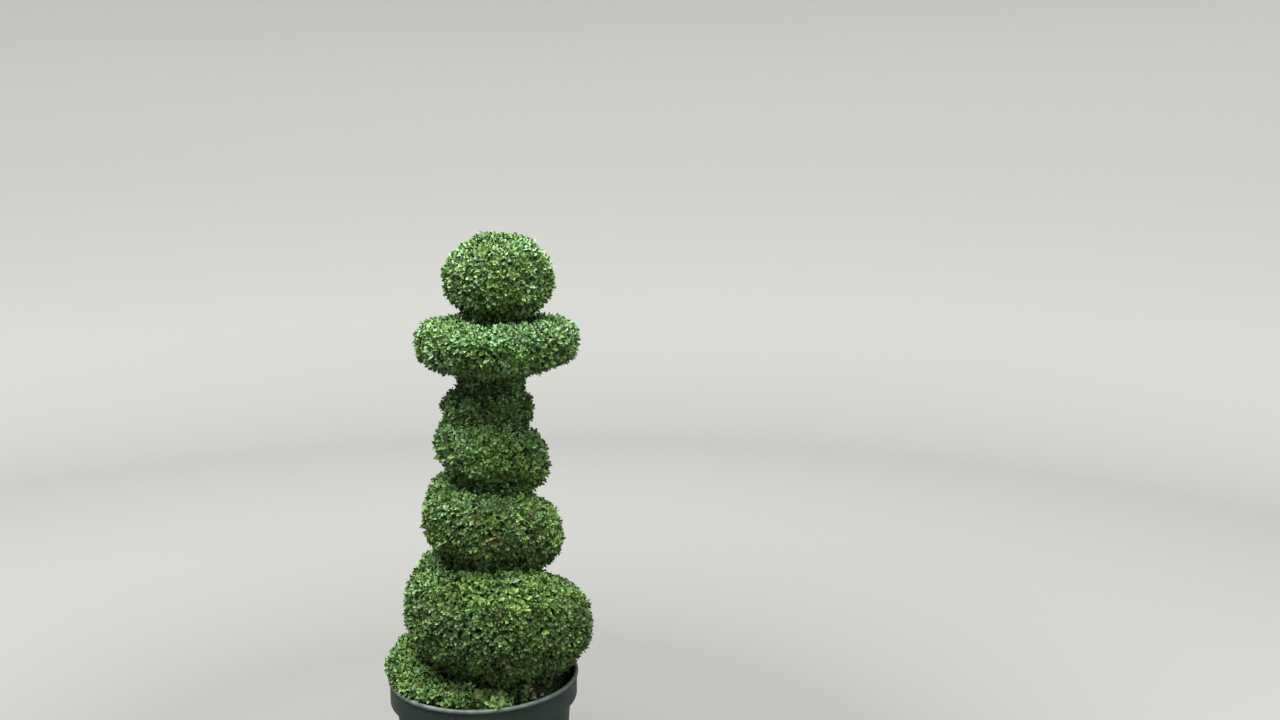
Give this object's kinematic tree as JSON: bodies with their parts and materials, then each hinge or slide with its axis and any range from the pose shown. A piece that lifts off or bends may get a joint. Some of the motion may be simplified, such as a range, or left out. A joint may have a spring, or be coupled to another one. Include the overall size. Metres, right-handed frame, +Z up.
{
  "type": "boxwood spiral topiary in a nursery pot",
  "caption": "Clipped evergreen shrub grown as a spiral roll round one trunk, with a flat collar and a ball on top, standing in a round dark plastic nursery pot.",
  "frame": {"origin": "centre of the pot's flat underside", "axes": "+Z up the trunk, -Y to the front that the picture shows, +X to its right"},
  "size_m": [0.5332, 0.5264, 1.5578],
  "materials": {
    "pot_plastic": "satin, scuffed, paler along the lip",
    "growing_mix": "rough, damp",
    "bark": "rough, furrowed grey-brown",
    "foliage": "waxy leaf, satin"
  },
  "bodies": {
    "root": {"pot": "pot_plastic", "soil": "growing_mix", "trunk": "bark", "foliage_tail": "foliage", "foliage_turn_1": "foliage", "foliage_turn_2": "foliage", "foliage_turn_3": "foliage", "foliage_turn_4": "foliage", "foliage_collar": "foliage", "foliage_ball": "foliage"}
  },
  "joints": []
}
